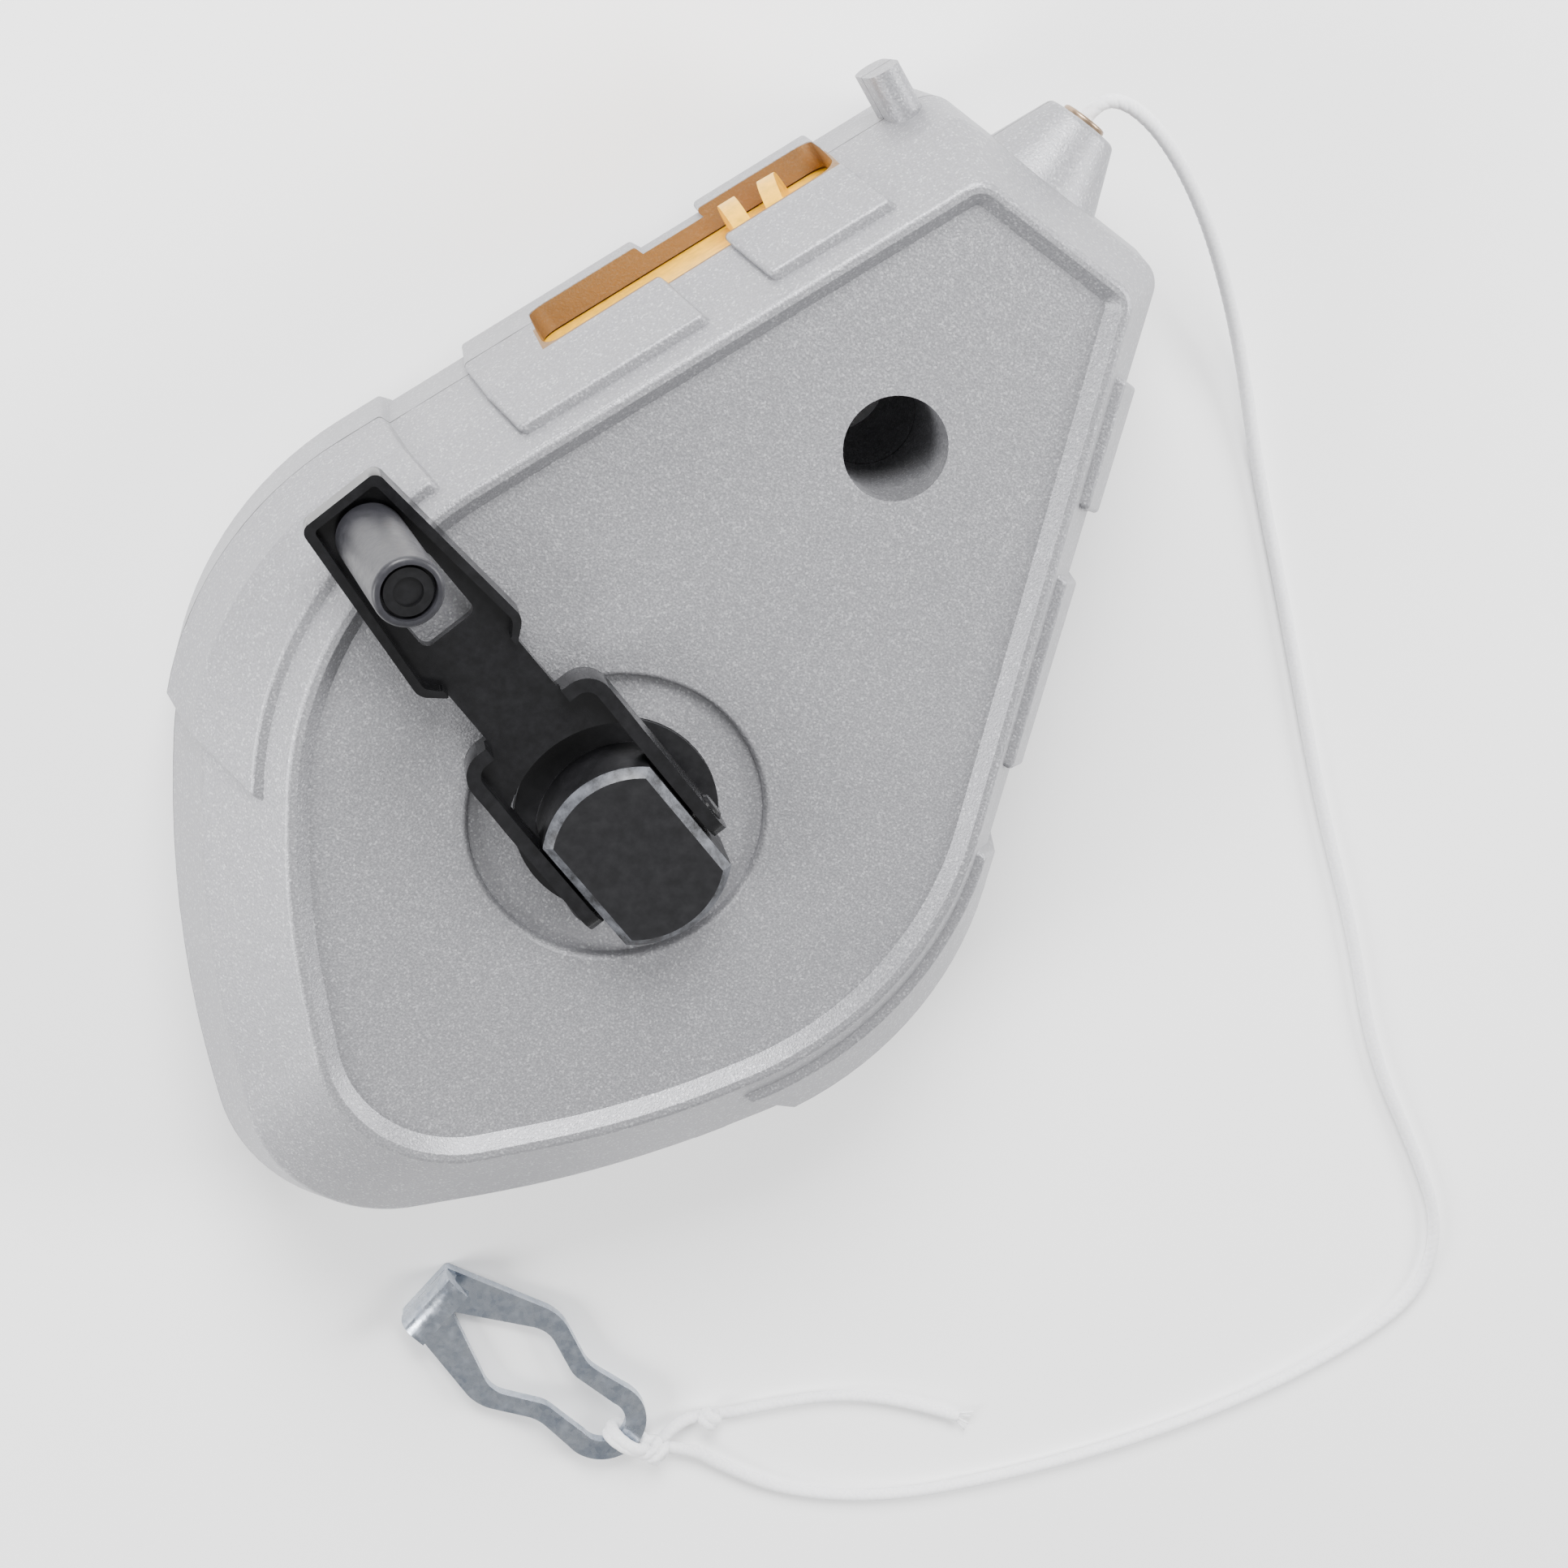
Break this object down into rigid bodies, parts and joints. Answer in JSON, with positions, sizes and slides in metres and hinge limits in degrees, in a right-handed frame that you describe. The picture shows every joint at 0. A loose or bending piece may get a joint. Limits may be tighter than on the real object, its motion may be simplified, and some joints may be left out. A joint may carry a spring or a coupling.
{
  "type": "chalk line reel",
  "caption": "Hand-cranked chalk line reel: pointed two-part cast case with side pads, folding crank, sliding filling door, hanging hole and a free line with a hook.",
  "frame": {"origin": "hub axis where it meets the flat back of the case", "axes": "+Y along the case towards the nose that the line leaves by, +Z out of the face that carries the crank, +X to the right seen from the front"},
  "size_m": [0.1764, 0.1633, 0.0519],
  "materials": {
    "case_metal": "sand-blasted casting with a sparkling grain",
    "crank_steel": "gloss black paint on stamped steel",
    "hub_black": "satin black moulding, worn on its edges",
    "grip_grey": "fine matt moulding",
    "door_yellow": "smooth moulding",
    "line_white": "twisted polyester line",
    "hook_zinc": "bright zinc plate",
    "eyelet_brass": "turned and worn",
    "felt_grey": "dense felt",
    "spool_plastic": "moulded",
    "shaft_steel": "turned",
    "pin_steel": "turned",
    "bush_bronze": "sintered bronze"
  },
  "bodies": {
    "case": {"front_shell": "case_metal", "rear_shell": "case_metal", "nose": "case_metal", "line_eyelet": "eyelet_brass", "line_wiper": "felt_grey", "rear_bush": "bush_bronze", "case_screws": "pin_steel", "line_lead": "line_white", "chalk_line": "line_white", "line_knot": "line_white", "line_tail": "line_white"},
    "rotor": {"hub_block": "hub_black", "crank_pins": "pin_steel", "drive_shaft": "shaft_steel", "hub_washer": "shaft_steel", "spool": "spool_plastic", "spool_clip": "shaft_steel", "line_winding": "line_white"},
    "crank": {"crank_arm": "crank_steel", "grip_rivet": "crank_steel"},
    "grip": {"crank_grip": "grip_grey"},
    "door": {"fill_door": "door_yellow", "door_seal": "felt_grey"},
    "hook": {"line_hook": "hook_zinc"}
  },
  "joints": [
    {"name": "spool_spin", "type": "hinge", "parent": "case", "child": "rotor", "pos_m": [0, 0, 0.031], "axis": [0, 0, 1], "continuous": true},
    {"name": "crank_fold", "type": "hinge", "parent": "rotor", "child": "crank", "pos_m": [0.00336, -0.00098, 0.0349], "axis": [0.2807, 0.9598, 0], "range_deg": [0, 155]},
    {"name": "grip_spin", "type": "hinge", "parent": "crank", "child": "grip", "pos_m": [-0.03724, 0.01089, 0.0352], "axis": [0.1673, 0.059, 0.9841], "continuous": true},
    {"name": "door_slide", "type": "slide", "parent": "case", "child": "door", "axis": [-0.3874, -0.9219, 0], "range_m": [0, 0.02]},
    {"name": "hook_swing", "type": "hinge", "parent": "case", "child": "hook", "pos_m": [0.0532, -0.0701, 0.0016], "axis": [0, 0, 1], "range_deg": [-35, 35]}
  ]
}
